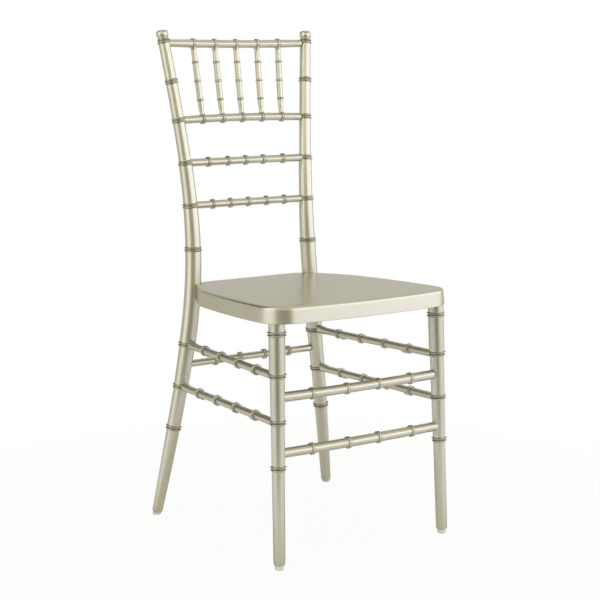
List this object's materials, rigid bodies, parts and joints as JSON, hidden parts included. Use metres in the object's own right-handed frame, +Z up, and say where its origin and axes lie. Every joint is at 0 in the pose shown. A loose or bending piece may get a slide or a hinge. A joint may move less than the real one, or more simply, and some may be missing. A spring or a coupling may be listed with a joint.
{
  "type": "chiavari dining chair",
  "caption": "Stackable dining chair with bamboo-noded turned legs and posts, a spindle back, ringed stretchers and a moulded hard seat tray.",
  "frame": {"origin": "on the floor, under the middle of the chair's footprint", "axes": "+Z up, -Y towards the front of the seat, +X towards the sitter's left"},
  "size_m": [0.4168, 0.4509, 0.9163],
  "materials": {
    "lacquered_resin": "satin metallic champagne lacquer",
    "core_steel": "drawn bright steel",
    "bolt_steel": "zinc plated",
    "glide_nylon": "translucent white nylon"
  },
  "bodies": {
    "root": {"seat_shell": "lacquered_resin", "front_leg_left": "lacquered_resin", "front_leg_right": "lacquered_resin", "rear_post_left": "lacquered_resin", "rear_post_right": "lacquered_resin", "top_rail": "lacquered_resin", "spindle_rail": "lacquered_resin", "upper_back_rail": "lacquered_resin", "lower_back_rail": "lacquered_resin", "spindle_1": "lacquered_resin", "spindle_2": "lacquered_resin", "spindle_3": "lacquered_resin", "spindle_4": "lacquered_resin", "spindle_5": "lacquered_resin", "front_stretcher_upper": "lacquered_resin", "front_stretcher_lower": "lacquered_resin", "side_stretcher_left_upper": "lacquered_resin", "side_stretcher_left_lower": "lacquered_resin", "side_stretcher_right_upper": "lacquered_resin", "side_stretcher_right_lower": "lacquered_resin", "rear_stretcher": "lacquered_resin", "front_leg_core_left": "core_steel", "front_leg_core_right": "core_steel", "rear_leg_core_left": "core_steel", "rear_leg_core_right": "core_steel", "seat_bolts": "bolt_steel", "glide_front_left": "glide_nylon", "glide_front_right": "glide_nylon", "glide_rear_left": "glide_nylon", "glide_rear_right": "glide_nylon"}
  },
  "joints": []
}
